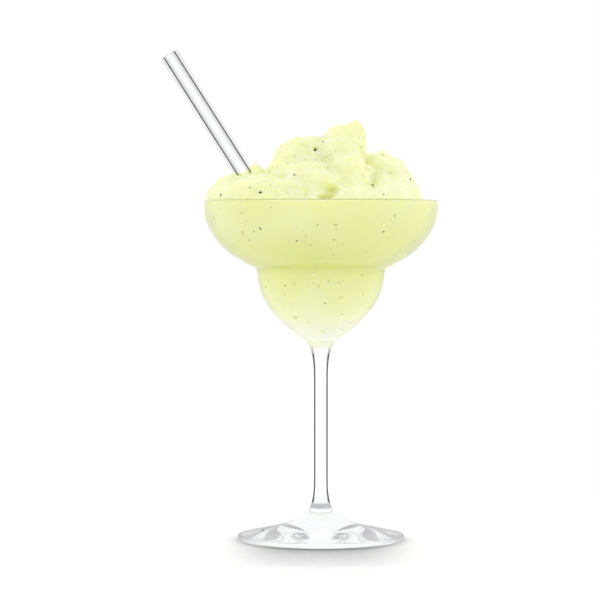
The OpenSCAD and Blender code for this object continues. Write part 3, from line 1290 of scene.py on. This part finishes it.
@dataclass
class Straw:
    """The clear straw, a thick tube with polished ends, along the axis of its solid."""

    around: int = 96
    wall: float = 1.2 * MM
    end_round: float = 0.5 * MM
    corner_steps: int = 6
    decimals: int = 6
    finish: ClearGlass = ClearGlass(
        "straw",
        # Painted shade: the straw's dark lines, a grey ramp over how far its surface is turned away.
        painted_edge_lines=(
            (0.0, 1.0), (0.03, 0.95), (0.08, 0.74), (0.13, 0.50), (0.19, 0.42), (0.21, 0.0),
            (0.29, 0.0), (0.31, 0.62), (0.40, 0.80), (0.50, 0.62), (0.62, 1.0), (1.0, 0.5),
        ),
        painted_line_band=(-4.0, -3.0, 3.0, 4.0),
        join_shade_band=(-4.0, -3.9, -3.8, -3.7),
        foot_band=(-1.0, -2.0),
        rest_band=(-4.0, -3.9, -3.8, -3.7),
    )

    def line(self) -> tuple[Vector, Vector, float]:
        """Finds the axis of the CAD straw.

        Returns:
            Its lower end, its upper end and its outside radius.
        """
        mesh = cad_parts["straw"].data
        xyz = np.empty(len(mesh.vertices) * 3)
        mesh.vertices.foreach_get("co", xyz)
        xyz = np.unique(np.round(xyz.reshape(-1, 3), self.decimals), axis=0)
        centre = xyz.mean(axis=0)
        direction = np.linalg.svd(xyz - centre, full_matrices=False)[2][0]
        direction = direction * np.sign(direction[2])
        along = (xyz - centre) @ direction
        off = np.linalg.norm(xyz - centre - along[:, None] * direction, axis=1)
        low = Vector(centre + direction * along.min())
        high = Vector(centre + direction * along.max())
        return low, high, float(off.max())

    def build(self) -> bpy.types.Object:
        """Builds, dresses and places the straw.

        Returns:
            The straw.
        """
        low, high, radius = self.line()
        length = (high - low).length
        bore = radius - self.wall
        edge = self.end_round
        corners = (
            (radius - edge, edge, -90.0),
            (radius - edge, length - edge, 0.0),
            (bore + edge, length - edge, 90.0),
            (bore + edge, edge, 180.0),
        )
        outline = []
        for across, up, start in corners:
            for step in range(self.corner_steps + 1):
                turn = math.radians(start + 90.0 * step / self.corner_steps)
                outline.append((across + edge * math.cos(turn), up + edge * math.sin(turn)))
        outline = np.array(outline)
        points = spun(outline, self.around)
        piece = mesh_object("drinking_straw", points, ring_faces(0, len(outline), self.around, closed=True))
        aim = (high - low).to_track_quat("Z", "Y").to_matrix().to_4x4()
        aim.translation = low
        piece.data.transform(aim)
        piece.data.materials.append(self.finish.material())
        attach(piece, BODY)
        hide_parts("straw")
        log.info("drinking_straw: %.1f mm long, %.1f mm thick", length / MM, 2.0 * radius / MM)
        return piece


# ---------------------------------------------------------------- the studio


@dataclass
class Studio:
    """A plain white floor, soft light all round and the camera.

    The floor's contact shadow is ambient occlusion that leans back, kept to the middle of the floor. Places
    along the foot's view run from 0, straight ahead or behind, to 1 at the sides.
    """

    distance: float = 1.26
    eye_height: float = 0.153
    lens: float = 152.2
    sensor: float = 36.0
    farthest: float = 100.0
    aim_drop: float = 2.4 * MM
    floor_half: float = 0.16
    floor_deep: float = 1.6
    floor_gap: float = 0.15 * MM
    floor_light: float = 0.945
    floor_dark: float = 0.935
    floor_rough: float = 0.9
    patches: Mottle = Mottle(8.0, Effects.NOISE_DETAIL, 0.5)
    contact_reach: float = 0.14
    contact_depth: float = 6.8
    contact_least: float = 0.28
    contact_sides: tuple[float, float] = (60.0 * MM, 14.0 * MM)
    contact_way: tuple[float, float, float] = (0.0, 0.64, 0.77)
    contact_samples: int = 24
    floor_glow: float = 0.12
    floor_bounce: float = 0.77
    front_sky: float = 1.09
    side_sky: float = 2.0
    back_sky: float = 0.95
    top_sky: float = 0.62
    key_light: float = 1.50
    key_way: tuple[float, float, float] = (0.0, 0.5, 0.866)
    key_spread: tuple[float, float] = (0.82, 0.93)
    mirrored: float = 0.96
    foot_depth: float = 5.5
    foot_view: Steps = ((0.0, 1.0), (0.15, 0.85), (0.3, 0.60), (0.7, 0.34))
    foot_sky: tuple[float, float] = (0.55, 0.75)
    most_bounces: int = 24
    diffuse_bounces: int = 8

    def contact(self, nodes: Nodes) -> Socket:
        """The shadow where the foot stands on the floor.

        Args:
            nodes: the floor material's nodes.

        Returns:
            1 on the open floor, and less in the shadow.
        """
        leaning = nodes.add("ShaderNodeCombineXYZ", dict(enumerate(self.contact_way)))
        near = nodes.add(
            "ShaderNodeAmbientOcclusion",
            {"Distance": self.contact_reach, "Normal": leaning.outputs["Vector"]},
            samples=self.contact_samples,
        )
        open_sky = nodes.math("POWER", near.outputs["AO"], self.contact_depth)
        open_sky = nodes.math("MULTIPLY", open_sky, 1.0 - self.contact_least)
        open_sky = nodes.math("ADD", open_sky, self.contact_least)
        place = nodes.add("ShaderNodeTexCoord").outputs["Object"]
        aside = nodes.math("ABSOLUTE", nodes.add("ShaderNodeSeparateXYZ", {"Vector": place}).outputs["X"])
        inside = nodes.add(
            "ShaderNodeMapRange",
            {"Value": aside, "From Min": self.contact_sides[0], "From Max": self.contact_sides[1]},
            interpolation_type="SMOOTHSTEP",
        )
        return nodes.mix(inside.outputs["Result"], WHITE, open_sky)

    def floor(self) -> None:
        """Lays the floor."""
        half, deep, level = self.floor_half, self.floor_deep, -self.floor_gap
        corners = ((-half, -deep), (half, -deep), (half, deep), (-half, deep))
        points = np.array([(*corner, level) for corner in corners])
        floor = mesh_object("floor", points, [(0, 1, 2, 3)])
        material, nodes, shader = new_material("floor")
        tone = self.patches.place(nodes, even_grey(self.floor_light), even_grey(self.floor_dark))
        rays = nodes.add("ShaderNodeLightPath").outputs
        toned = nodes.mix(rays["Is Diffuse Ray"], tone.outputs["Color"], even_grey(self.floor_bounce))
        contact = self.contact(nodes)
        nodes.feed(shader, {
            "Base Color": nodes.mix(rays["Is Camera Ray"], toned, nodes.mix(contact, BLACK, toned)),
            "Emission Color": nodes.mix(contact, BLACK, WHITE),
            "Emission Strength": self.floor_glow,
            "Roughness": self.floor_rough,
            "Specular IOR Level": 0.0,
        })
        floor.data.materials.append(material)

    def dome(self, nodes: Nodes, way: Socket, split: bpy.types.Node) -> Socket:
        """The soft light that falls on matt things: a sky brightest at its sides, and one broad key light.

        Args:
            nodes: the surrounding light's nodes.
            way: the direction of the light.
            split: the node that gives the parts of that direction.

        Returns:
            The light's colour.
        """
        back = nodes.between(split.outputs["Y"], (-1.0, 1.0))
        horizon = nodes.mix(back, grey(self.front_sky), grey(self.back_sky))
        horizon = nodes.mix(nodes.math("ABSOLUTE", split.outputs["X"]), horizon, grey(self.side_sky))
        soft = nodes.mix(nodes.between(split.outputs["Z"], (0.0, 1.0)), horizon, grey(self.top_sky))
        toward_key = nodes.add("ShaderNodeVectorMath", {0: way, 1: self.key_way}, operation="DOT_PRODUCT")
        key = nodes.between(toward_key.outputs["Value"], self.key_spread)
        soft = nodes.mix(key, soft, grey(self.key_light))
        below = nodes.math("LESS_THAN", split.outputs["Z"], 0.0)
        return nodes.mix(below, soft, grey(self.floor_bounce))

    def through_glass(self, nodes: Nodes, rays: bpy.types.Node, split: bpy.types.Node) -> Socket:
        """What shows in clear glass: white, and greyer to the sides after the many turns inside the foot.

        Args:
            nodes: the surrounding light's nodes.
            rays: the node that tells kinds of ray apart.
            split: the node that gives the parts of the light's direction.

        Returns:
            The light's colour.
        """
        aside, ahead = (nodes.math("ABSOLUTE", split.outputs[axis]) for axis in "XY")
        quarter = nodes.math("DIVIDE", nodes.math("ARCTAN2", aside, ahead), math.pi / 2.0)
        many_turns = nodes.math("GREATER_THAN", rays.outputs["Ray Depth"], self.foot_depth)
        bent = nodes.mix(many_turns, WHITE, nodes.ramp(quarter, grey_stops(self.foot_view)))
        bent = nodes.mix(nodes.between(split.outputs["Z"], self.foot_sky), bent, WHITE)
        return nodes.mix(rays.outputs["Is Transmission Ray"], even_grey(self.mirrored), bent)

    def light(self) -> None:
        """Sets the surrounding light: white to the camera, and as wanted in glass and on matt things."""
        world = bpy.data.worlds.new("surround")
        world.use_nodes = True
        bpy.context.scene.world = world
        world.node_tree.nodes.clear()
        nodes = Nodes(world.node_tree)
        way = nodes.add("ShaderNodeTexCoord").outputs["Generated"]
        split = nodes.add("ShaderNodeSeparateXYZ", {"Vector": way})
        rays = nodes.add("ShaderNodeLightPath")
        in_glass = self.through_glass(nodes, rays, split)
        glow = nodes.mix(rays.outputs["Is Diffuse Ray"], in_glass, self.dome(nodes, way, split))
        colour = nodes.mix(rays.outputs["Is Camera Ray"], glow, WHITE)
        lit = nodes.add("ShaderNodeBackground", {"Color": colour, "Strength": 1.0})
        nodes.add("ShaderNodeOutputWorld", {"Surface": lit.outputs[0]})

    def camera(self) -> None:
        """Sets the camera a little under the rim, looking slightly down."""
        data = bpy.data.cameras.new("camera")
        data.lens = self.lens
        data.sensor_width = self.sensor
        data.clip_end = self.farthest
        camera = bpy.data.objects.new("camera", data)
        bpy.context.collection.objects.link(camera)
        centre = (cad_box[0] + cad_box[1]) / 2.0
        aim = Vector((centre[0], 0.0, centre[2] - self.aim_drop))
        camera.location = (0.0, -self.distance, self.eye_height)
        camera.rotation_mode = "QUATERNION"
        camera.rotation_quaternion = (aim - camera.location).to_track_quat("-Z", "Y")
        bpy.context.scene.camera = camera

    def build(self) -> None:
        """Sets up the whole studio."""
        scene = bpy.context.scene
        scene.view_settings.view_transform = "Standard"
        scene.cycles.diffuse_bounces = self.diffuse_bounces
        scene.cycles.max_bounces = self.most_bounces
        scene.cycles.transmission_bounces = self.most_bounces
        scene.cycles.glossy_bounces = self.most_bounces
        self.floor()
        self.light()
        self.camera()
        log.info("studio: floor, surround and camera")


def main() -> None:
    """Builds every piece and the studio."""
    logging.basicConfig(level=logging.INFO, format="%(message)s")
    goblet = Goblet()
    glass = goblet.build()
    slush = Heap(goblet).build()
    Straw().build()
    Flecks(slush).build()
    FootSpeck(glass).build()
    Studio().build()


if __name__ == "__main__":
    main()
